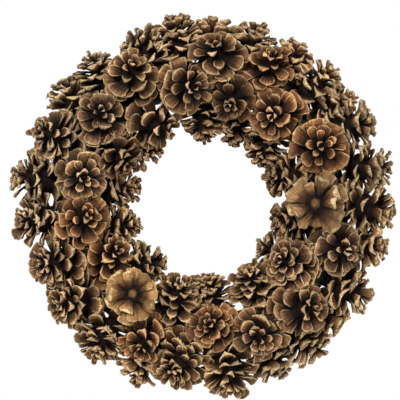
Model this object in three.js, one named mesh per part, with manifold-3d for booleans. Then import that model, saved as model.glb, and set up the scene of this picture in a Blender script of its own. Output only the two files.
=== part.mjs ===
// Pine cone wreath: open pine cones glued all round a wrapped straw ring, which hangs from a wire loop.
// Millimetres, +Z up, the front faces -Y. The origin is where the loop's eye rests on its nail.
import * as THREE from "three";
import { mergeVertices } from "three/addons/utils/BufferGeometryUtils.js";
import Module from "manifold-3d";

const wasm = await Module();
wasm.setup();

// Driving dimensions
const RING_RADIUS = 127; // centre line of the straw ring
const TUBE_RADIUS = 19; // the ring is a tube of this radius, with a flat strip along its back
const RING_BACK_Y = -5; // the flat strip lies this far in front of the loop's eye
const RING_DROP = 152; // from the nail down to the ring's centre
const GAP = 0.35; // clearance between pieces that touch
const CUT_SLACK = 0.05; // a cut beside the ring stays this far clear of a stalk end that stands on it
const WIRE_RADIUS = 0.9;
const EYE_RADIUS = 7; // centre line of the loop's eye

const RING_SIDES = 16; // flats round the tube's section
const RING_STEPS = 48;
const RING_CENTRE_Y = RING_BACK_Y - TUBE_RADIUS * Math.cos(Math.PI / RING_SIDES);
const CONE_SIDES = 10;

// The closed outline of one open cone, from its stalk end to its tip: [share of radius, share of length].
const CONE_PROFILE = [
  [0, 0],
  [0.3, 0],
  [0.68, 0.04],
  [0.92, 0.14],
  [1, 0.3],
  [0.97, 0.5],
  [0.8, 0.74],
  [0.48, 0.92],
  [0, 1],
];
const STALK_END = CONE_PROFILE[1][0];

// The cones, clockwise from the top as the wreath is seen from the front. Each is
// [clock, around, lean, width, length, stalk end out]: its angle round the ring, its angle round the
// tube (0 points away from the hole, 90 at the viewer, 180 into the hole), its lean clockwise along
// the ring, all in degrees, then its own size, and whether its stalk end is the one that shows.
const OUTER_CONES = [
  [3, 2, -6, 44, 46],
  [17.5, 6, -5, 46, 47],
  [32, 4, -4, 44, 48],
  [43, 12, 2, 46, 48],
  [59, 4, 20, 46, 50],
  [75, 6, 15, 46, 50],
  [90, 12, 13, 47, 48],
  [103.5, 2, -4, 44, 48],
  [123, 6, -24, 46, 48],
  [143.5, 4, -8, 46, 48],
  [158, 4, -22, 42, 46],
  [171, 34, 3, 50, 50],
  [186, 54, 16, 48, 48],
  [201.5, 20, -4, 44, 46],
  [219.5, 36, -18, 46, 48],
  [231, 50, 20, 47, 50],
  [247, 54, 14, 47, 48],
  [264.5, 36, 6, 46, 46],
  [280.5, 24, -8, 49, 50],
  [296, 44, -4, 47, 50],
  [304.5, 2, 46, 46, 48],
  [319.5, 24, 24, 43, 46],
  [344.5, 18, -44, 44, 46],
  [351.5, 18, 3, 47, 50],
];
const FRONT_CONES = [
  [7.5, 63, -12, 53, 46],
  [16.5, 120, -5, 48, 44],
  [27.5, 58, -12, 49, 46],
  [40, 111, -7, 50, 46],
  [64, 92, -3, 55, 46],
  [88.5, 110, 0, 55, 42, true],
  [108, 74, -3, 50, 46],
  [123, 129, 3, 52, 52],
  [139, 76, -26, 50, 48],
  [154.5, 81, 8, 50, 46],
  [175, 107, 4, 46, 42],
  [202, 70, 5, 48, 46],
  [218.5, 112, 0, 50, 40, true],
  [240.5, 130, 4, 48, 44],
  [262, 109, 12, 51, 46],
  [284, 103, -2, 50, 46],
  [302.5, 143, -10, 47, 44],
  [309.5, 86, 13, 50, 46],
  [321, 152, 32, 50, 48],
  [329, 69, 18, 54, 48],
  [349.5, 106, 20, 52, 46],
];
const INNER_CONES = [
  [1, 172, 0, 42, 48],
  [21, 172, 8, 38, 46],
  [42, 166, 30, 40, 46],
  [72.5, 160, -11, 42, 46],
  [97.5, 160, 9, 40, 44],
  [118, 172, 16, 38, 44],
  [148, 146, -8, 42, 48],
  [173.5, 166, 4, 40, 46],
  [197, 144, -4, 44, 50],
  [232, 176, -30, 40, 52],
  [257.5, 174, -6, 40, 50],
  [275, 172, 26, 38, 50],
  [307, 178, 32, 36, 53],
];

const SETTLE_ROUNDS = 60;
const SETTLE_SPACING = 0.8; // neighbours settle until this share of their mean width apart
const SETTLE_STEP = 0.35;
const INNER_SAG = 0.6; // how far the ring curves towards a cone that stands upright inside it
const LEANING_SAG = 10; // and how much more it does for one that lies along it

// A closed geometry as a manifold-3d solid.
function solidFrom(geometry) {
  const bare = geometry.index ? geometry.toNonIndexed() : geometry.clone();
  bare.deleteAttribute("normal");
  bare.deleteAttribute("uv");
  const merged = mergeVertices(bare, 1e-3);
  return new wasm.Manifold(
    new wasm.Mesh({
      numProp: 3,
      vertProperties: merged.attributes.position.array,
      triVerts: new Uint32Array(merged.index.array),
    }),
  );
}

function geometryFrom(solid) {
  const mesh = solid.getMesh();
  const geometry = new THREE.BufferGeometry()
    .setAttribute("position", new THREE.BufferAttribute(mesh.vertProperties, 3))
    .setIndex(new THREE.BufferAttribute(mesh.triVerts, 1));
  geometry.computeVertexNormals();
  return geometry;
}

function tubeCentre(clock) {
  const angle = THREE.MathUtils.degToRad(clock);
  return new THREE.Vector3(
    RING_RADIUS * Math.sin(angle),
    RING_CENTRE_Y,
    RING_RADIUS * Math.cos(angle) - RING_DROP,
  );
}

function alongRing(clock) {
  const angle = THREE.MathUtils.degToRad(clock);
  return new THREE.Vector3(Math.cos(angle), 0, -Math.sin(angle));
}

// The way out of the tube at an angle round the ring and an angle round the tube.
function outOfTube(clock, around) {
  const ring = THREE.MathUtils.degToRad(clock);
  const tube = THREE.MathUtils.degToRad(around);
  return new THREE.Vector3(
    Math.sin(ring) * Math.cos(tube),
    -Math.sin(tube),
    Math.cos(ring) * Math.cos(tube),
  );
}

// Where a cone stands: the axis away from the ring, its foot on the ring and its middle.
function stance(cone) {
  const outward = outOfTube(cone.clock, cone.around);
  const lean = THREE.MathUtils.degToRad(cone.lean);
  const axis = outward
    .clone()
    .multiplyScalar(Math.cos(lean))
    .addScaledVector(alongRing(cone.clock), Math.sin(lean));
  const inward = Math.max(0, -Math.cos(THREE.MathUtils.degToRad(cone.around)));
  const sag = INNER_SAG + LEANING_SAG * Math.sin(lean) ** 2;
  const clearance = TUBE_RADIUS + GAP + sag * inward;
  const heel = STALK_END * cone.radius * Math.abs(Math.sin(lean));
  const foot = tubeCentre(cone.clock).addScaledVector(outward, clearance + heel);
  const middle = foot.clone().addScaledVector(axis, cone.length / 2);
  return { outward, axis, foot, middle, clearance };
}

// Glued cones push each other aside round the ring and round the tube until they fit.
function settle(cones) {
  const reach = TUBE_RADIUS + cones[0].length / 2;
  const pairs = cones.flatMap((a, i) => cones.slice(i + 1).map((b) => [a, b]));
  for (let round = 0; round < SETTLE_ROUNDS; round++) {
    for (const [a, b] of pairs) {
      const between = stance(b).middle.sub(stance(a).middle);
      const missing = (a.radius + b.radius) * SETTLE_SPACING - between.length();
      if (missing <= 0) continue;
      between.normalize();
      for (const [cone, sign] of [[a, -1], [b, 1]]) {
        const push = SETTLE_STEP * missing * sign;
        const across = outOfTube(cone.clock, cone.around + 90);
        const ringReach = RING_RADIUS + reach * Math.cos(THREE.MathUtils.degToRad(cone.around));
        cone.clock += THREE.MathUtils.radToDeg((push * between.dot(alongRing(cone.clock))) / ringReach);
        cone.around += THREE.MathUtils.radToDeg((push * between.dot(across)) / reach);
        cone.around = THREE.MathUtils.clamp(cone.around, cone.lowest, 180 - cone.lowest);
      }
    }
  }
}

function coneSolid(cone) {
  const { outward, axis, foot, clearance } = stance(cone);
  const profile = CONE_PROFILE.map(([r, z]) => new THREE.Vector2(r * cone.radius, z * cone.length));
  const geometry = new THREE.LatheGeometry(profile, CONE_SIDES);
  if (cone.stalkOut) {
    geometry.rotateX(Math.PI);
    geometry.translate(0, cone.length, 0);
  }
  const turn = new THREE.Quaternion().setFromUnitVectors(new THREE.Vector3(0, 1, 0), axis);
  geometry.applyMatrix4(new THREE.Matrix4().compose(foot, turn, new THREE.Vector3(1, 1, 1)));
  const offset = outward.dot(tubeCentre(cone.clock)) + clearance - CUT_SLACK;
  return solidFrom(geometry).trimByPlane(outward.toArray(), offset);
}

function farthest(solid, direction) {
  const mesh = solid.getMesh();
  let best = -Infinity;
  for (let i = 0; i < mesh.numVert; i++) {
    best = Math.max(best, direction.dot(new THREE.Vector3().fromArray(mesh.vertProperties, i * 3)));
  }
  return best;
}

// Two cones that press on each other flatten along a plane between their middles.
function pressApart(a, b) {
  if (a.solid.intersect(b.solid).volume() <= 0) return;
  const [from, to] = [stance(a).middle, stance(b).middle];
  const across = to.clone().sub(from);
  const distance = across.length();
  across.normalize();
  const reachA = farthest(a.solid, across) - across.dot(from);
  const reachB = farthest(b.solid, across.clone().negate()) + across.dot(to);
  const plane = across.dot(from) + (distance * reachA) / (reachA + reachB);
  a.solid = a.solid.trimByPlane(across.clone().negate().toArray(), -(plane - GAP / 2));
  b.solid = b.solid.trimByPlane(across.toArray(), plane + GAP / 2);
}

// A round tube with its flat strip towards +Y, turned about the wreath's own axis.
function ringSolid() {
  const section = Array.from({ length: RING_SIDES + 1 }, (_, i) => {
    const angle = (2 * Math.PI * (i + 0.5)) / RING_SIDES;
    return new THREE.Vector2(
      RING_RADIUS + TUBE_RADIUS * Math.sin(angle),
      RING_CENTRE_Y + TUBE_RADIUS * Math.cos(angle),
    );
  });
  const geometry = new THREE.LatheGeometry(section.reverse(), RING_STEPS);
  geometry.translate(0, 0, -RING_DROP);
  return solidFrom(geometry);
}

// The wire runs up out of the straw, round the eye and back down beside itself.
function loopSolid(radius) {
  const legX = 2.6;
  const neckZ = -EYE_RADIUS * 2.3;
  const ringTop = RING_RADIUS - RING_DROP;
  const eye = [-60, -20, 25, 90, 155, 200, 240].map((degrees) => {
    const angle = THREE.MathUtils.degToRad(degrees);
    return [EYE_RADIUS * Math.cos(angle), 0, EYE_RADIUS * Math.sin(angle) - EYE_RADIUS + WIRE_RADIUS];
  });
  const points = [
    [legX, -19, ringTop - 9],
    [legX, RING_BACK_Y - 1.5, ringTop + 1],
    [legX * 0.8, -1.2, neckZ],
    ...eye,
    [-legX * 0.8, -1.2, neckZ],
    [-legX, RING_BACK_Y - 1.5, ringTop + 1],
    [-legX, -19, ringTop - 9],
  ].map((point) => new THREE.Vector3(...point));
  const circle = new THREE.Shape(
    Array.from({ length: 8 }, (_, i) => {
      const angle = (2 * Math.PI * (i + 0.5)) / 8;
      return new THREE.Vector2(radius * Math.cos(angle), radius * Math.sin(angle));
    }),
  );
  return solidFrom(
    new THREE.ExtrudeGeometry(circle, {
      steps: 44,
      bevelEnabled: false,
      extrudePath: new THREE.CatmullRomCurve3(points),
    }),
  );
}

function readCones(row, rowName, lowest) {
  return row.map(([clock, around, lean, width, length, stalkOut = false], i) => ({
    name: `${rowName}_cone_${String(i + 1).padStart(2, "0")}`,
    clock,
    around,
    lean,
    radius: width / 2,
    length,
    stalkOut,
    lowest,
  }));
}

function named(name, solid, material) {
  const mesh = new THREE.Mesh(geometryFrom(solid), material);
  mesh.name = name;
  return mesh;
}

const coneWood = new THREE.MeshStandardMaterial({ color: 0x8a6a45, roughness: 0.85, metalness: 0 });
const wrapGreen = new THREE.MeshStandardMaterial({ color: 0x1d2620, roughness: 0.6, metalness: 0 });
const wireSteel = new THREE.MeshStandardMaterial({ color: 0x2c332c, roughness: 0.45, metalness: 0.6 });

const cones = [
  ...readCones(OUTER_CONES, "outer", 0),
  ...readCones(FRONT_CONES, "front", 20),
  ...readCones(INNER_CONES, "inner", 6),
];
settle(cones);
for (const cone of cones) cone.solid = coneSolid(cone);
cones.forEach((a, i) => cones.slice(i + 1).forEach((b) => pressApart(a, b)));

const wreath = new THREE.Group();
wreath.add(named("straw_ring", ringSolid().subtract(loopSolid(WIRE_RADIUS + GAP)), wrapGreen));
wreath.add(named("hanging_loop", loopSolid(WIRE_RADIUS), wireSteel));
for (const cone of cones) wreath.add(named(cone.name, cone.solid, coneWood));

export default wreath;
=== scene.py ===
# The looks of a pine cone wreath: open cones glued round a wrapped straw ring, in metres.
import math
from dataclasses import dataclass, replace

import bpy
import numpy as np
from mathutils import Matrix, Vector


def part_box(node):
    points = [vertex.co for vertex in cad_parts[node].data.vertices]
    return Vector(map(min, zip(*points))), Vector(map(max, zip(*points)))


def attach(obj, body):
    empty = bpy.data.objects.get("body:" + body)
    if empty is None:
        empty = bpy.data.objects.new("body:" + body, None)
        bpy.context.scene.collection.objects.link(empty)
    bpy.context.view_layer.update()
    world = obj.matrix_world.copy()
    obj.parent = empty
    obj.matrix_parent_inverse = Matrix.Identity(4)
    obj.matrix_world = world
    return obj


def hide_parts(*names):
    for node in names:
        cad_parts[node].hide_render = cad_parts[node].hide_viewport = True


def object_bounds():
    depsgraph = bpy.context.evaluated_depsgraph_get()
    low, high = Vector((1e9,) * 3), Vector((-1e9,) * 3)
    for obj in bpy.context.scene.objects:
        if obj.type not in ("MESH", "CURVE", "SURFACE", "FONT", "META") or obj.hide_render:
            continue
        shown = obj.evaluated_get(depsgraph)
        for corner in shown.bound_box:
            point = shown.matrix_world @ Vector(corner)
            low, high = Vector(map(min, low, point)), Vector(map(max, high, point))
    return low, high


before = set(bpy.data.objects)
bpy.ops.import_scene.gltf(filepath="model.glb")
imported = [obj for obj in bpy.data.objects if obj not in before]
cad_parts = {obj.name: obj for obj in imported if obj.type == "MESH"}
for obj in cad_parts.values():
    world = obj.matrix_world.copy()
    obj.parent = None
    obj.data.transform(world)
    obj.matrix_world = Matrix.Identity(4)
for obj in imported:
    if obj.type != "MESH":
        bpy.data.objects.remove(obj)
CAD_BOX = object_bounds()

MM = 0.001
FULL_TURN = 2 * np.pi
GOLDEN_ANGLE = math.radians(137.508)
ASIDE = (0.0, 0.6, 0.8)  # a direction at least five degrees off the axis of every cone

# The straw ring: a tube whose flat back lies on the wall.
RING_BOX = [Vector(corner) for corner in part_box("straw_ring")]
RING_CENTRE = (RING_BOX[0] + RING_BOX[1]) / 2
TUBE_RADIUS = (RING_BOX[1].y - RING_BOX[0].y) / 2
RING_RADIUS = (RING_BOX[1].x - RING_BOX[0].x) / 2 - TUBE_RADIUS
WALL = RING_BOX[1].y
PRESSED = 9 * MM  # scales within this distance of the wall are pressed forward off it

# The band wound round the ring in a spiral.
WRAP_TURNS = 46
WRAP_STEP = 1.1 * MM  # how far the band's laid edge stands above the turn below it
WRAP_INSET = 2.2 * MM  # how far inside the CAD tube it lies, which leaves room for its lumps
STRAW_LUMPS = 0.5 * MM
CREASES = 0.15 * MM
RING_POINTS, TUBE_POINTS = 460, 40

# The wire loop: an eye above a twisted neck. Along the neck, from the eye (0) to the straw (1),
# its two wires turn round each other, keep a distance from its middle and lean forward.
LOOP_BOX = [Vector(corner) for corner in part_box("hanging_loop")]
WIRE_RADIUS = 0.9 * MM
WIRE_SIDES = 12
LOOP_STEPS = 40
LOOP_SMOOTHING = 2  # how many times its path is evened out
EYE_ENDS = (-62, 242)  # where the eye opens into the neck, in degrees
EYE_MOUTH = 0.46  # half of the space between the wires where the neck begins, in eye radii
NECK_TOP = 0.8 * MM  # how far below the eye's ends the neck begins
NECK_TWIST = ((0.1, 0), (0.85, 1.5 * FULL_TURN))
NECK_SPACING = ((0.12, 1.0 * MM), (0.85, 1.0 * MM), (1, 2.4 * MM))
NECK_DEPTH = ((0, 0), (0.3, -2 * MM), (0.75, -7 * MM), (1, -18 * MM))

# A scale's sections from the core to its tip: share of length, share of half width, and how
# thick it is above and below its middle line, in millimetres.
SECTIONS = np.array(
    [
        (0.00, 0.50, 0.6, 0.7),
        (0.24, 0.58, 0.5, 0.8),
        (0.45, 0.70, 0.5, 1.0),
        (0.64, 0.86, 0.5, 1.3),
        (0.79, 0.98, 0.6, 1.8),
        (0.89, 1.00, 0.7, 2.3),
        (0.955, 0.84, 0.65, 2.6),
        (0.99, 0.58, 0.4, 2.4),
        (1.01, 0.28, 0.05, 1.8),
    ]
)
SECTION_POINTS = 12
ROUNDED_ACROSS, ROUNDED_UP = 0.8, 0.6  # powers that square off a section: 1 would be a circle
EDGE = 0.9  # points further across than this share of half width are a scale's edges
UMBO = 1.03  # how far the small knob at the tip stands out, as a share of length
UMBO_BEND = 0.4  # share of the scale's bend that the knob follows
UMBO_DROP = 0.6 * MM  # how far below the scale's middle line it is

# How a cone's scales change from its stalk end (0) to its tip (1): opening from the axis in
# degrees, length and half width in cone radii, thickness as a share of the sections' own, and
# height up the core in cone lengths.
WIDE_OPEN = {
    "opening": (
        (0, 114), (0.12, 104), (0.3, 92), (0.54, 80), (0.67, 60), (0.82, 44), (0.93, 28), (1, 10),
    ),
    "length": (
        (0, 0.72), (0.1, 0.94), (0.2, 0.95), (0.34, 0.87), (0.54, 0.86), (0.68, 0.76),
        (0.82, 0.62), (0.93, 0.44), (1, 0.3),
    ),
    "width": (
        (0, 0.27), (0.1, 0.36), (0.3, 0.38), (0.5, 0.35), (0.6, 0.28), (0.7, 0.2),
        (0.85, 0.145), (1, 0.08),
    ),
    "thickness": ((0, 0.8), (0.4, 1.0), (0.68, 1.6), (0.85, 1.7), (1, 1.3)),
    "height": ((0, 0.05), (1, 0.74)),
}
SEEN_FROM_STALK = {
    "opening": ((0, 96), (0.24, 92), (0.4, 82), (0.54, 76), (1, 10)),
    "length": ((0, 0.76), (0.24, 0.84), (0.4, 0.86), (0.54, 0.84), (1, 0.3)),
    "width": ((0, 0.22), (0.24, 0.25), (0.4, 0.3), (1, 0.08)),
    "thickness": ((0, 2.4), (0.26, 2.4), (0.4, 1.5), (1, 1.4)),
    "height": ((0, 0.05), (0.22, 0.1), (1, 0.74)),
}
HALF_OPEN = {
    "opening": ((0, 132), (0.1, 112), (0.22, 86), (0.4, 68), (0.65, 56), (0.85, 40), (1, 12)),
    "length": ((0, 1.0), (0.15, 1.14), (0.4, 1.12), (0.65, 0.95), (0.85, 0.66), (1, 0.36)),
    "width": ((0, 0.32), (0.15, 0.34), (0.35, 0.28), (0.65, 0.2), (0.85, 0.14), (1, 0.1)),
    "thickness": ((0, 1.0), (0.5, 1.4), (1, 1.6)),
    "height": ((0, 0.03), (1, 0.74)),
}
BEND = ((0, 18), (0.5, 20), (1, 8))  # how far a scale curves along its length, in degrees
ROOT = ((0, 0.17), (0.3, 0.17), (1, 0.06))  # how far from the axis it begins, in cone radii
CUP = 0.26  # how far its sides curl up, as a share of half width

# How much scales differ, as standard deviations: the whole cone's opening first, then each
# scale's own measures. Angles are in radians but the bend is in degrees, the warp is in
# millimetres, and the others are shares.
SPREAD = {
    "openness": 0.03,
    "turn": 0.12,
    "opening": 0.21,
    "bend": 11,
    "length": 0.09,
    "width": 0.13,
    "thickness": 0.1,
    "twist": 0.26,
    "skew": 0.2,
    "cup": 0.16,
    "ragged": 0.05,
    "warp": 0.35,
}
BROKEN_SHARE = 0.05  # how many scales have broken off short
BROKEN_LENGTH = 0.72  # what they have left, as a share of their length
FIRST_TURN = 7  # the first scale stands at up to this angle, in radians: a little over one turn
FIRST_SEED = 4100

# How scales give way to a neighbour, or where they reach too far forward, in a few rounds.
ROOM_ROUNDS = 4
NEIGHBOUR_REACH = 3  # cones whose middles are nearer than this are neighbours, in cone radii
CROWDED = 0.3  # how much nearer to a neighbour's middle than to its own a tip may be, in radii
CLOSING_STEP = math.radians(6)  # how far a crowded scale closes in each round
CROWDED_LENGTH = 0.97  # what it keeps of its length in each round
FRONT_LIMIT = CAD_BOX[0][1] - 4 * MM
TOO_FAR_LENGTH = 0.9  # what a scale keeps that reaches past that limit

# A cone's woody core and the stub of its stalk: share of length, share of radius, then how far
# along the scales' colours it lies, from near-black painted shade (0) through brown to worn tan (1).
CORE = (
    (0.0, 0.1, 0.8),
    (0.03, 0.12, 0.7),
    (0.05, 0.24, 0.4),
    (0.12, 0.36, 0.1),
    (0.35, 0.34, 0.1),
    (0.6, 0.16, 0.1),
    (0.8, 0.04, 0.1),
    (0.82, 0.0, 0.1),
)
CORE_POINTS, CORE_RINGS = 32, 22
CORE_TIP = 1e-4  # the last ring's share of radius, small but not closed
CORE_TONE = 0.5  # halfway between a dark scale (0) and a light one (1)
LOBES = 8  # lumps round the core, in two crossing spirals, where scales once grew
LOBE_SLANTS = (30, 48)  # how the two spirals turn: radians of their waves per cone length
LOBE_HEIGHT = 0.17  # as a share of the core's radius
LOBE_LIGHTER = 0.5  # how much lighter their tops are, as they rise out of the painted shade towards brown
LOBE_START = ((0.05, 0), (0.12, 1))  # the lumps begin above the stalk stub

# Colours that a cone's own is multiplied by.
BROWN = (1.0, 1.0, 1.0)
WARM = (1.12, 0.98, 0.88)
GREY = (0.92, 0.97, 1.05)
BUFF = (1.25, 1.28, 1.3)
PALE = (1.12, 1.17, 1.17)
PALEST = (1.45, 1.5, 1.35)
DARK = (0.72, 0.68, 0.66)


@dataclass
class Habit:
    """How a cone grew and weathered."""

    form: dict  # how its scales change from the stalk end to the tip
    scales: int = 33
    openness: float = 1.0  # its opening angles as a share of the form's
    tint: tuple = BROWN
    core: float = 1.0  # how thick its core is, as a share of CORE's radii
    bleach: float = 0.2  # how much further the pale tip colour reaches down the undersides


FRONT = Habit(WIDE_OPEN)
STALK_OUT = Habit(SEEN_FROM_STALK, scales=36, tint=PALE, bleach=0.26)
BEHIND = Habit(HALF_OPEN, scales=62, core=1.6)
ROW_HABITS = {"front": FRONT, "outer": BEHIND, "inner": BEHIND}
HABITS = {
    "front_cone_02": replace(FRONT, tint=DARK),
    "front_cone_05": replace(FRONT, openness=1.06, tint=WARM),
    "front_cone_06": STALK_OUT,
    "front_cone_08": replace(FRONT, scales=56, openness=0.92),
    "front_cone_11": replace(FRONT, scales=48, tint=WARM),
    "front_cone_13": replace(STALK_OUT, tint=PALEST),
    "front_cone_16": replace(FRONT, openness=1.05, tint=BUFF),
    "front_cone_17": replace(FRONT, scales=48, openness=0.95, tint=DARK),
}
TINTED = (
    ("front", WARM, (3, 4, 12, 14, 15)),
    ("front", GREY, (7, 18)),
    ("outer", GREY, (5, 6, 10, 11, 18, 19, 20, 21, 22, 23)),
    # The inner cones' dark tint is painted shade, for their recessed place; on the front cones DARK is
    # their own darker colour.
    ("inner", DARK, (1, 2, 3, 4, 5, 12)),
)
for row, row_tint, numbers in TINTED:
    for number in numbers:
        HABITS[f"{row}_cone_{number:02d}"] = replace(ROW_HABITS[row], tint=row_tint)

# Cones wedged behind the gap between two others, and how big they are as a share of the smaller.
WEDGED = (
    ("outer_cone_25", "outer_cone_04", "outer_cone_05", 0.95),
    ("outer_cone_26", "outer_cone_09", "outer_cone_10", 0.85),
    ("inner_cone_14", "inner_cone_08", "inner_cone_09", 0.85),
)
WEDGED_SETBACK = 0.3  # how far behind the middle of those two it sits, in its own radii

# The stage: a floor below the wreath, the light of the white surroundings, and the camera.
FLOOR_DROP = 0.22
FLOOR_HALF = 0.55
FLOOR_AHEAD = 0.3  # how much further it reaches towards the camera
WORLD_LIGHT = 0.26
CAMERA_LENS = 85  # millimetres
VIEW_WIDTH = 0.4  # how much the camera sees at the ring
AIM_LEFT, AIM_UP = 2 * MM, 6 * MM  # where the camera aims, from the ring's centre


# ---------------------------------------------------------------------------------------------
# Cones


@dataclass
class Cone:
    """The room that a cone grows in: its stalk end, the way it grows, and its size."""

    name: str
    base: np.ndarray
    axis: np.ndarray
    radius: float
    length: float

    @property
    def middle(self):
        return self.base + self.axis * self.length * 0.5

    @property
    def sides(self):
        """Two directions across the axis, square to each other."""
        across = np.cross(self.axis, ASIDE)
        across /= np.linalg.norm(across)
        return across, np.cross(self.axis, across)

    def radii_from_middle(self, points):
        """How far points are from the middle, in radii."""
        return np.linalg.norm(points - self.middle, axis=1) / self.radius


def habit_of(cone):
    """A cone's own habit, or else the habit of its row."""
    return HABITS.get(cone.name) or ROW_HABITS[cone.name.split("_")[0]]


def rounded(vector, digits):
    """A vector as a key that is the same for vectors all but equal to it."""
    return tuple(round(c, digits) for c in vector)


def tip_and_axis(mesh):
    """A CAD cone's tip, where the most facets meet, and the direction that they lean round."""
    facets = {}
    for polygon in mesh.polygons:
        for i in polygon.vertices:
            corner = rounded(mesh.vertices[i].co, 5)
            facets.setdefault(corner, {})[rounded(polygon.normal, 2)] = polygon.normal
    tip = max(facets, key=lambda corner: len(facets[corner]))
    axis = np.sum([tuple(normal) for normal in facets[tip].values()], axis=0)
    return np.array(tip), axis / np.linalg.norm(axis)


def wedged_cone(name, first, second, size):
    """A smaller cone between two others, set back a little."""
    axis = first.axis + second.axis
    axis /= np.linalg.norm(axis)
    radius = size * min(first.radius, second.radius)
    length = size * min(first.length, second.length)
    middle = (first.middle + second.middle) / 2 + np.array((0, WEDGED_SETBACK * radius, 0))
    return Cone(name, middle - axis * length / 2, axis, radius, length)


def read_cones():
    """The frame's cones, followed by the wedged ones."""
    cones = {}
    for name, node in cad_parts.items():
        if "cone" not in name:
            continue
        tip, axis = tip_and_axis(node.data)
        below = tip - np.array([vertex.co for vertex in node.data.vertices])
        depth = below @ axis
        radius = np.linalg.norm(below - np.outer(depth, axis), axis=1).max()
        cones[name] = Cone(name, tip - axis * depth.max(), axis, radius, depth.max())
    for name, first, second, size in WEDGED:
        cones[name] = wedged_cone(name, cones[first], cones[second], size)
    return list(cones.values())


def neighbours_of(cone, cones):
    """The other cones whose middles are near."""
    reach = cone.radius * NEIGHBOUR_REACH
    return [c for c in cones if c is not cone and np.linalg.norm(c.middle - cone.middle) < reach]


def profile(place, table):
    """The value at a place, or at an array of them, in a table of places and values."""
    return np.interp(place, *zip(*table))


def grow_scales(cone, neighbours, rng):
    """Each scale's own measures, from the stalk end up, as arrays."""
    habit = habit_of(cone)
    count = habit.scales
    sections = len(SECTIONS)
    place = np.linspace(0, 1, count)
    form = {name: profile(place, table) for name, table in habit.form.items()}

    def vary(name, mean=0.0):
        return rng.normal(mean, SPREAD[name], count)

    openness = habit.openness * rng.normal(1.0, SPREAD["openness"])
    broken = rng.random(count) < BROKEN_SHARE
    scales = {
        "turn": np.arange(count) * GOLDEN_ANGLE + rng.uniform(0, FIRST_TURN) + vary("turn"),
        "opening": np.radians(form["opening"]) * openness + vary("opening"),
        "bend": np.radians(vary("bend", profile(place, BEND))),
        "length": cone.radius * form["length"] * vary("length", 1),
        "width": cone.radius * form["width"] * vary("width", 1),
        "height": cone.length * form["height"],
        "root": cone.radius * profile(place, ROOT),
        "thickness": form["thickness"] * vary("thickness", 1),
        "twist": vary("twist"),
        "skew": vary("skew"),
        "cup": vary("cup", CUP),
        "tone": rng.uniform(0, 1, count),
        "ragged": rng.normal(0, SPREAD["ragged"], (count, sections, 2)),
        "warp": rng.normal(0, SPREAD["warp"], (count, sections)) * MM,
    }
    scales["length"] *= np.where(broken, BROKEN_LENGTH, 1)
    make_room(cone, scales, neighbours)
    return scales


def make_room(cone, scales, neighbours):
    """Closes and shortens crowded scales, and shortens those that reach too far forward."""
    for _ in range(ROOM_ROUNDS):
        tips = scale_tips(cone, scales)
        own = cone.radii_from_middle(tips)
        crowded = np.zeros(len(own), bool)
        for other in neighbours:
            crowded |= own - other.radii_from_middle(tips) > CROWDED
        scales["opening"] -= CLOSING_STEP * crowded
        scales["length"] *= np.where(crowded, CROWDED_LENGTH, 1)
        scales["length"] *= np.where(tips[:, 1] < FRONT_LIMIT, TOO_FAR_LENGTH, 1)


def scale_tips(cone, scales):
    """Where the tips would be if the scales were straight."""
    across, along = cone.sides
    reach = scales["root"] + scales["length"] * np.sin(scales["opening"])
    rise = scales["height"] + scales["length"] * np.cos(scales["opening"])
    outward = np.outer(np.cos(scales["turn"]), across) + np.outer(np.sin(scales["turn"]), along)
    return cone.base + outward * reach[:, None] + np.outer(rise, cone.axis)


def around_axis(cone, turn, reach, rise, sideways):
    """Points at an angle round the cone's axis, out from it, along it and square to both."""
    across, along = cone.sides
    cos, sin = np.cos(turn), np.sin(turn)
    flat_x = cos * reach - sin * sideways
    flat_y = sin * reach + cos * sideways
    return (
        cone.base
        + flat_x[..., None] * across
        + flat_y[..., None] * along
        + rise[..., None] * cone.axis
    )


def section_outline():
    """A section's points: across from -1 to 1, and up from -1 to 1, as a flat rounded plate."""
    angles = FULL_TURN * (np.arange(SECTION_POINTS) + 0.5) / SECTION_POINTS
    across = np.sign(np.cos(angles)) * np.abs(np.cos(angles)) ** ROUNDED_ACROSS
    up = np.sign(np.sin(angles)) * np.abs(np.sin(angles)) ** ROUNDED_UP
    return across, up


def scale_vertices(cone, scales):
    """Places every scale's sections, as an array of scale, section, point and coordinate."""
    share, half_width, upper, lower = SECTIONS.T
    across, up = section_outline()
    opening = scales["opening"][:, None] + scales["bend"][:, None] * (share - 0.5)
    step = np.diff(share, prepend=0) * scales["length"][:, None]
    reach = scales["root"][:, None] + np.cumsum(np.sin(opening) * step, axis=1)
    rise = scales["height"][:, None] + np.cumsum(np.cos(opening) * step, axis=1)

    ragged = np.where(across > 0, scales["ragged"][:, :, :1], scales["ragged"][:, :, 1:])
    sideways = half_width[:, None] * across * (1 + ragged)
    sideways = sideways + scales["skew"][:, None, None] * share[:, None] ** 2
    sideways = scales["width"][:, None, None] * sideways

    # The underside is thickest along its middle, as a keel, and small scales are thinner.
    keel = 0.5 + (1 - np.abs(across)) ** 1.3
    thickness = np.where(up > 0, upper[:, None], lower[:, None] * keel) * MM
    size = (scales["width"] / scales["width"].max())[:, None, None] ** 0.5
    lift = thickness * up * size * scales["thickness"][:, None, None]
    lift = lift + scales["cup"][:, None, None] * sideways**2 / scales["width"][:, None, None]
    lift = lift + (scales["warp"] * share)[:, :, None]

    twist = scales["twist"][:, None, None]
    turned = sideways * np.cos(twist) - lift * np.sin(twist)
    lift = sideways * np.sin(twist) + lift * np.cos(twist)

    reach = reach[:, :, None] - lift * np.cos(opening)[:, :, None]
    rise = rise[:, :, None] + lift * np.sin(opening)[:, :, None]
    return around_axis(cone, scales["turn"][:, None, None], reach, rise, turned)


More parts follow.
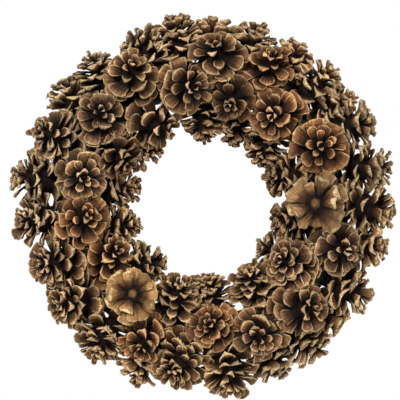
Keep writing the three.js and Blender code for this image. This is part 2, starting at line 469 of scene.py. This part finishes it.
def umbo_vertices(cone, scales):
    """The small knob in the middle of each scale's end face."""
    opening = scales["opening"] + scales["bend"] * UMBO_BEND
    reach = scales["root"] + scales["length"] * UMBO * np.sin(opening)
    rise = scales["height"] + scales["length"] * UMBO * np.cos(opening)
    reach = reach + UMBO_DROP * np.cos(opening)
    rise = rise - UMBO_DROP * np.sin(opening)
    return around_axis(cone, scales["turn"], reach, rise, 0 * reach)


def lofted_faces(first, rings, points):
    """Quads between rings of points that follow each other in a vertex list."""
    ring, point = np.meshgrid(np.arange(rings - 1), np.arange(points), indexing="ij")
    following = (point + 1) % points
    here = first + ring * points
    quads = np.stack(
        [here + point, here + following, here + points + following, here + points + point],
        axis=-1,
    )
    return quads.reshape(-1, 4).tolist()


def end_faces(first, rings, points):
    """The flat faces that close such a loft at its first and last ring."""
    last = first + (rings - 1) * points
    return [first + i for i in reversed(range(points))], [last + i for i in range(points)]


def scale_faces(first):
    """One scale's faces: the loft, the flat end in the core and the fan round the umbo."""
    rings = len(SECTIONS)
    faces = lofted_faces(first, rings, SECTION_POINTS)
    inner_end, rim = end_faces(first, rings, SECTION_POINTS)
    umbo = first + rings * SECTION_POINTS
    fan = [[rim[i], rim[(i + 1) % SECTION_POINTS], umbo] for i in range(SECTION_POINTS)]
    return [*faces, inner_end, *fan]


def core_mesh(cone, first):
    """The lumpy core's points and faces, and how far each point lies along the scales' colours: low
    values are near-black painted shade, higher ones lighter.
    """
    height, radius, core_shade_and_wear = np.array(CORE).T
    rise = np.linspace(0, height[-1], CORE_RINGS)[:, None]
    turn = FULL_TURN * np.arange(CORE_POINTS) / CORE_POINTS
    one_way, other_way = LOBE_SLANTS
    lumps = np.cos(LOBES * turn + one_way * rise) * np.sin(LOBES * turn - other_way * rise)
    lumps = lumps * profile(rise, LOBE_START)
    reach = np.interp(rise, height, radius) * (1 + LOBE_HEIGHT * lumps)
    reach = np.maximum(reach, CORE_TIP) * cone.radius * habit_of(cone).core
    # Low values give the near-black painted shade of the scales' colours; the lumps' tops rise out of
    # it.
    lighter_share = np.interp(rise, height, core_shade_and_wear) + LOBE_LIGHTER * np.maximum(lumps, 0)
    vertices = around_axis(cone, turn, reach, rise * cone.length, 0 * reach)
    faces = lofted_faces(first, CORE_RINGS, CORE_POINTS)
    faces.extend(end_faces(first, CORE_RINGS, CORE_POINTS))
    return vertices.reshape(-1, 3), faces, lighter_share.ravel()


def keep_off_wall(vertices):
    """Presses forward whatever would pass through the wall that the wreath hangs on."""
    start = WALL - PRESSED
    y = vertices[:, 1]
    vertices[:, 1] = np.where(y > start, start + PRESSED * np.tanh((y - start) / PRESSED), y)
    return vertices


def build_cone(cone, neighbours, rng, material):
    """Grows a cone's scales round its core, as one piece."""
    scales = grow_scales(cone, neighbours, rng)
    count = len(scales["turn"])
    lofts = scale_vertices(cone, scales).reshape(count, -1, 3)
    vertices = np.concatenate([lofts, umbo_vertices(cone, scales)[:, None]], axis=1)
    per_scale = vertices.shape[1]
    faces = [face for i in range(count) for face in scale_faces(i * per_scale)]
    core, core_faces, core_shade_and_wear = core_mesh(cone, count * per_scale)

    mesh = bpy.data.meshes.new(f"{cone.name}_scales")
    vertices = keep_off_wall(np.concatenate([vertices.reshape(-1, 3), core]))
    mesh.from_pydata(vertices.tolist(), [], faces + core_faces)
    paint_cone(mesh, habit_of(cone), scales["tone"], core_shade_and_wear)
    add_piece(mesh, material, cone.name)


def paint_cone(mesh, habit, tones, core_shade_and_wear):
    """Gives a cone's points what its material reads: where they lie on a scale, and their look."""
    count = len(tones)
    share = SECTIONS[:, 0]
    across, up = section_outline()
    along = np.append(np.repeat(share, SECTION_POINTS), UMBO)
    sideways = np.append((SECTIONS[:, 1:2] * across).ravel(), 0)
    under = np.append(np.tile(up < 0, len(share)), False).astype(float)
    edge = np.append(np.tile(np.abs(across) > EDGE, len(share)), False).astype(float)
    # The core's points take their place on the colours from CORE, where low values are the near-black
    # painted shade.
    paint(mesh, "along", np.append(np.tile(along, count), core_shade_and_wear))
    paint(mesh, "across", np.append(np.tile(sideways, count), 0 * core_shade_and_wear))
    paint(mesh, "bleach", np.append(np.tile(under, count) * habit.bleach, 0 * core_shade_and_wear))
    paint(mesh, "edge", np.append(np.tile(edge, count), 0 * core_shade_and_wear))
    paint(mesh, "tone", np.append(np.repeat(tones, len(along)), 0 * core_shade_and_wear + CORE_TONE))
    paint_colour(mesh, "tint", habit.tint)


# ---------------------------------------------------------------------------------------------
# Ring and wire loop


def build_ring(material):
    """The straw ring under its spiral band: each turn laps the last one and creases a little."""
    round_ring = FULL_TURN * np.arange(RING_POINTS) / RING_POINTS
    round_tube = FULL_TURN * np.arange(TUBE_POINTS) / TUBE_POINTS
    ring, tube = np.meshgrid(round_ring, round_tube, indexing="ij")
    lap = (WRAP_TURNS * ring + tube) / FULL_TURN % 1.0

    # Waves of different lengths, a whole number of each round the ring and the tube.
    broad_lumps = np.sin(5 * ring + 1.3) * np.cos(2 * tube + 3 * ring)
    lumps = broad_lumps + 0.6 * np.sin(23 * ring + 2 * tube)
    creases = np.sin(9 * tube + 40 * ring)
    radius = TUBE_RADIUS - WRAP_INSET + WRAP_STEP * (lap - 0.5) + STRAW_LUMPS * lumps
    radius = radius + CREASES * creases

    out = RING_RADIUS + radius * np.cos(tube)
    vertices = np.stack(
        [
            RING_CENTRE.x + out * np.cos(ring),
            RING_CENTRE.y + radius * np.sin(tube),
            RING_CENTRE.z + out * np.sin(ring),
        ],
        axis=-1,
    )
    corners = np.arange(RING_POINTS * TUBE_POINTS).reshape(RING_POINTS, TUBE_POINTS)
    along = np.roll(corners, -1, axis=0)
    quads = [corners, np.roll(corners, -1, axis=1), np.roll(along, -1, axis=1), along]
    faces = np.stack(quads, axis=-1).reshape(-1, 4).tolist()
    mesh = bpy.data.meshes.new("ring_wrap")
    mesh.from_pydata(vertices.reshape(-1, 3).tolist(), [], faces)
    paint(mesh, "lap", lap.ravel())
    add_piece(mesh, material, "straw_ring")


def loop_path():
    """The wire's middle line: out of the straw, up the twisted neck, round the eye and back."""
    eye_radius = (LOOP_BOX[1].x - LOOP_BOX[0].x) / 2 - WIRE_RADIUS
    eye_centre = LOOP_BOX[1].z - WIRE_RADIUS - eye_radius
    angles = np.radians(np.linspace(*EYE_ENDS, LOOP_STEPS))
    eye_height = eye_centre + eye_radius * np.sin(angles)
    eye = np.stack([eye_radius * np.cos(angles), 0 * angles, eye_height], axis=1)

    share = np.linspace(0, 1, LOOP_STEPS)
    twist = profile(share, NECK_TWIST)
    spacing = profile(share, ((0, eye_radius * EYE_MOUTH), *NECK_SPACING))
    height = np.interp(share, (0, 1), (eye_height[0] - NECK_TOP, LOOP_BOX[0].z + WIRE_RADIUS))
    aside = spacing * np.cos(twist)
    ahead = spacing * np.sin(twist)
    depth = profile(share, NECK_DEPTH)
    leg = np.stack([aside, depth + ahead, height], axis=1)
    other_leg = np.stack([-aside, depth - ahead, height], axis=1)
    return np.concatenate([leg[::-1], eye, other_leg])


def build_loop(material):
    """The wire loop as one tube along its path."""
    path = loop_path()
    for _ in range(LOOP_SMOOTHING):
        path[1:-1] = (path[:-2] + 2 * path[1:-1] + path[2:]) / 4
    forward = np.gradient(path, axis=0)
    forward /= np.linalg.norm(forward, axis=1)[:, None]
    side = np.cross(forward, (0.0, 1.0, 0.0))
    side /= np.linalg.norm(side, axis=1)[:, None]
    other = np.cross(forward, side)
    turn = FULL_TURN * np.arange(WIRE_SIDES) / WIRE_SIDES
    circle = side[:, None] * np.cos(turn)[:, None] + other[:, None] * np.sin(turn)[:, None]
    vertices = path[:, None] + WIRE_RADIUS * circle
    faces = lofted_faces(0, len(path), WIRE_SIDES)
    faces.extend(end_faces(0, len(path), WIRE_SIDES))
    mesh = bpy.data.meshes.new("wire_loop")
    mesh.from_pydata(vertices.reshape(-1, 3).tolist(), [], faces)
    add_piece(mesh, material, "hanging_loop")


# ---------------------------------------------------------------------------------------------
# Pieces


def paint(mesh, name, values):
    """Gives each point of a mesh its own number, for the material to read."""
    mesh.attributes.new(name, "FLOAT", "POINT").data.foreach_set("value", values)


def paint_colour(mesh, name, colour):
    """Gives all the points of a mesh one colour, for the material to read."""
    values = np.tile(colour, len(mesh.vertices))
    mesh.attributes.new(name, "FLOAT_VECTOR", "POINT").data.foreach_set("vector", values)


def add_piece(mesh, material, node):
    """Makes a mesh a piece of the wreath with its material, and hides the node that it takes the place
    of if that exists.
    """
    mesh.shade_smooth()
    mesh.materials.append(material)
    piece = bpy.data.objects.new(mesh.name, mesh)
    bpy.context.collection.objects.link(piece)
    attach(piece, "root")
    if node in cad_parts:
        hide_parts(node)


# ---------------------------------------------------------------------------------------------
# Materials. Noise scales are counts per metre: 190 makes blotches of about 5 mm.


def rgb(*channels):
    """A linear colour, opaque."""
    return (*channels, 1.0)


class Nodes:
    """A material's node tree, with short ways to add nodes to it."""

    def __init__(self, name):
        self.material = bpy.data.materials.new(name)
        self.material.use_nodes = True
        self.tree = self.material.node_tree
        self.shader = self.tree.nodes["Principled BSDF"]

    def add(self, kind, settings=None, **inputs):
        """A new node with its settings and inputs."""
        node = self.tree.nodes.new(kind)
        for key, value in (settings or {}).items():
            setattr(node, key, value)
        self.feed_all(node, inputs)
        return node

    def feed(self, socket, value):
        """Links a socket to another node's output, or sets it to a number or colour."""
        if isinstance(value, bpy.types.NodeSocket):
            self.tree.links.new(value, socket)
        else:
            socket.default_value = value

    def feed_all(self, node, inputs):
        """Feeds a node's inputs by name, where _ stands for a space."""
        for key, value in inputs.items():
            self.feed(node.inputs[key.replace("_", " ")], value)

    def finish(self, **inputs):
        """Feeds the shader, and returns the finished material."""
        self.feed_all(self.shader, inputs)
        return self.material

    def attribute(self, name, output="Fac"):
        return self.add("ShaderNodeAttribute", {"attribute_name": name}).outputs[output]

    def math(self, operation, *values):
        node = self.add("ShaderNodeMath", {"operation": operation})
        for socket, value in zip(node.inputs, values):
            self.feed(socket, value)
        return node.outputs[0]

    def span(self, value, low, high, to_low=0.0, to_high=1.0):
        """Stretches a value's range from low to high onto another range, and clamps it there."""
        node = self.add("ShaderNodeMapRange")
        for socket, number in zip(node.inputs, (value, low, high, to_low, to_high)):
            self.feed(socket, number)
        return node.outputs[0]

    def mix(self, factor, first, second, blend="MIX"):
        """Mixes two colours, through the Mix node's sockets for colours."""
        node = self.add("ShaderNodeMix", {"data_type": "RGBA", "blend_type": blend})
        self.feed(node.inputs[0], factor)
        self.feed(node.inputs[6], first)
        self.feed(node.inputs[7], second)
        return node.outputs[2]

    def noise(self, vector, scale, detail=3.0, roughness=0.55):
        node = self.add("ShaderNodeTexNoise", None, Scale=scale, Detail=detail, Roughness=roughness)
        self.feed(node.inputs["Vector"], vector)
        return node.outputs["Fac"]

    def vector(self, x, y, z):
        node = self.add("ShaderNodeCombineXYZ")
        for socket, value in zip(node.inputs, (x, y, z)):
            self.feed(socket, value)
        return node.outputs[0]

    def place(self):
        return self.add("ShaderNodeTexCoord").outputs["Object"]

    def bump(self, height, strength, distance):
        node = self.add("ShaderNodeBump", None, Strength=strength, Distance=distance)
        self.feed(node.inputs["Height"], height)
        return node.outputs[0]


def cone_material():
    """Woody scales: near-black painted shade by the core, brown along their length and tan at the worn
    rim.
    """
    nodes = Nodes("pine_cone_scale")
    along = nodes.attribute("along")
    across = nodes.attribute("across")
    edge = nodes.attribute("edge")
    tone = nodes.attribute("tone")

    # Fibres run along each scale, in a pattern of its own.
    fibres_across = nodes.math("MULTIPLY", across, 7.0)
    fibres_along = nodes.math("MULTIPLY", along, 2.2)
    own_pattern = nodes.math("MULTIPLY", tone, 40.0)
    fibres = nodes.noise(nodes.vector(fibres_across, fibres_along, own_pattern), 1.0, 5.0, 0.65)
    blotches = nodes.noise(nodes.place(), 190.0, 4.0, 0.65)
    specks = nodes.noise(nodes.place(), 1300.0, 2.0, 0.6)

    # The colour changes along the scale, at a wavy border that lies nearer the core underneath.
    # inside is painted shade: a near-black for the shade deep between the scales, which the core's
    # points take as well.
    inside = rgb(0.009, 0.004, 0.0025)
    brown = rgb(0.088, 0.039, 0.0165)
    tan = rgb(0.25, 0.13, 0.055)
    rim = rgb(0.5, 0.34, 0.175)
    wavy = nodes.math("ADD", along, nodes.span(blotches, 0.3, 0.7, -0.1, 0.1))
    wavy = nodes.math("ADD", wavy, nodes.attribute("bleach"))
    colour = nodes.mix(nodes.span(wavy, 0.46, 0.82), inside, brown)
    colour = nodes.mix(nodes.span(wavy, 0.76, 1.0), colour, tan)
    side_rim = nodes.math("MULTIPLY", edge, nodes.span(along, 0.5, 0.85))
    lighter_share = nodes.math("MAXIMUM", nodes.span(along, 0.95, 1.0), side_rim)
    colour = nodes.mix(lighter_share, colour, rim)

    # Fibres, specks and the scale's own tone darken or lighten it, and the cone's tint colours it.
    shade = nodes.math(
        "MULTIPLY", nodes.span(fibres, 0.3, 0.7, 0.4, 1.5), nodes.span(tone, 0, 1, 0.55, 1.3)
    )
    shade = nodes.math("MULTIPLY", shade, nodes.span(specks, 0.3, 0.7, 0.5, 1.55))
    colour = nodes.mix(1.0, colour, nodes.vector(shade, shade, shade), "MULTIPLY")
    colour = nodes.mix(1.0, colour, nodes.attribute("tint", "Vector"), "MULTIPLY")

    height = nodes.math("ADD", nodes.math("MULTIPLY", fibres, 0.7), nodes.math("MULTIPLY", specks, 0.3))
    return nodes.finish(
        Base_Color=colour,
        Roughness=nodes.span(blotches, 0.3, 0.7, 0.68, 0.92),
        Normal=nodes.bump(height, 0.85, 1.1 * MM),
        Specular_IOR_Level=0.15,
    )


def wrap_material():
    """Dark green floral wrap: a thin waxy band, dusty, and paler where its edges lap."""
    nodes = Nodes("ring_wrap")
    lap = nodes.attribute("lap")
    grain = nodes.noise(nodes.place(), 900.0, 4.0)
    dust = nodes.noise(nodes.place(), 60.0, 5.0, 0.65)
    colour = nodes.mix(grain, rgb(0.005, 0.008, 0.005), rgb(0.014, 0.022, 0.013))
    colour = nodes.mix(nodes.span(lap, 0.86, 1.0, 0.0, 0.6), colour, rgb(0.05, 0.075, 0.045))
    colour = nodes.mix(nodes.span(dust, 0.5, 0.75, 0.0, 0.45), colour, rgb(0.09, 0.065, 0.04))
    return nodes.finish(
        Base_Color=colour,
        Roughness=nodes.span(dust, 0.3, 0.7, 0.45, 0.8),
        Normal=nodes.bump(grain, 0.5, 0.4 * MM),
        Specular_IOR_Level=0.3,
    )


def wire_material():
    """Green enamelled wire, chipped to dull steel in specks."""
    nodes = Nodes("loop_wire")
    grain = nodes.noise(nodes.place(), 700.0, 3.0)
    chips = nodes.noise(nodes.place(), 420.0, 5.0, 0.7)
    chipped = nodes.span(chips, 0.62, 0.66)
    colour = nodes.mix(grain, rgb(0.018, 0.036, 0.018), rgb(0.035, 0.065, 0.032))
    colour = nodes.mix(chipped, colour, rgb(0.22, 0.2, 0.18))
    return nodes.finish(
        Base_Color=colour,
        Metallic=chipped,
        Roughness=nodes.span(chips, 0.3, 0.7, 0.28, 0.5),
        Normal=nodes.bump(chips, 0.3, 0.15 * MM),
    )


# ---------------------------------------------------------------------------------------------
# Stage


def add_floor():
    """A matt white floor, well below the wreath."""
    low = CAD_BOX[0][2] - FLOOR_DROP
    ahead = -FLOOR_HALF - FLOOR_AHEAD
    corners = [
        (-FLOOR_HALF, ahead, low),
        (FLOOR_HALF, ahead, low),
        (FLOOR_HALF, FLOOR_HALF, low),
        (-FLOOR_HALF, FLOOR_HALF, low),
    ]
    mesh = bpy.data.meshes.new("studio_floor")
    mesh.from_pydata(corners, [], [(0, 1, 2, 3)])
    white = Nodes("studio_floor").finish(Base_Color=rgb(0.86, 0.86, 0.85), Roughness=0.8)
    mesh.materials.append(white)
    floor = bpy.data.objects.new("studio_floor", mesh)
    bpy.context.collection.objects.link(floor)


def add_light(name, place, size, power):
    """A round soft light that faces the ring's centre."""
    data = bpy.data.lights.new(name, "AREA")
    data.shape = "DISK"
    data.size = size
    data.energy = power
    light = bpy.data.objects.new(name, data)
    light.location = place
    light.rotation_euler = (RING_CENTRE - light.location).to_track_quat("-Z", "Y").to_euler()
    bpy.context.collection.objects.link(light)


def add_surroundings():
    """Surroundings that the camera sees as pure white and that light the wreath more softly."""
    world = bpy.data.worlds.new("studio")
    world.use_nodes = True
    tree = world.node_tree
    background = tree.nodes["Background"]
    background.inputs["Color"].default_value = rgb(1, 1, 1)
    seen = tree.nodes.new("ShaderNodeLightPath").outputs["Is Camera Ray"]
    strength = tree.nodes.new("ShaderNodeMapRange")
    strength.inputs["To Min"].default_value = WORLD_LIGHT
    tree.links.new(seen, strength.inputs["Value"])
    tree.links.new(strength.outputs[0], background.inputs["Strength"])
    bpy.context.scene.world = world
    bpy.context.scene.view_settings.view_transform = "Standard"


def add_camera():
    """A camera straight in front, as far off as its lens and the width of its view ask for."""
    data = bpy.data.cameras.new("camera")
    data.lens = CAMERA_LENS
    camera = bpy.data.objects.new("camera", data)
    distance = VIEW_WIDTH * data.lens / data.sensor_width
    camera.location = (RING_CENTRE.x - AIM_LEFT, RING_CENTRE.y - distance, RING_CENTRE.z + AIM_UP)
    camera.rotation_euler = (math.pi / 2, 0, 0)
    bpy.context.collection.objects.link(camera)
    bpy.context.scene.camera = camera


cones = read_cones()
scale_wood = cone_material()
for index, cone in enumerate(cones):
    rng = np.random.default_rng(FIRST_SEED + index)
    build_cone(cone, neighbours_of(cone, cones), rng, scale_wood)
build_ring(wrap_material())
build_loop(wire_material())
add_floor()
add_light("key", Vector((-0.45, -1.6, 0.45)), size=0.6, power=32)
add_light("fill", Vector((0.9, -1.4, -0.1)), size=0.9, power=9)
add_light("back", Vector((0.6, 1.5, 0.5)), size=0.9, power=14)
add_surroundings()
add_camera()
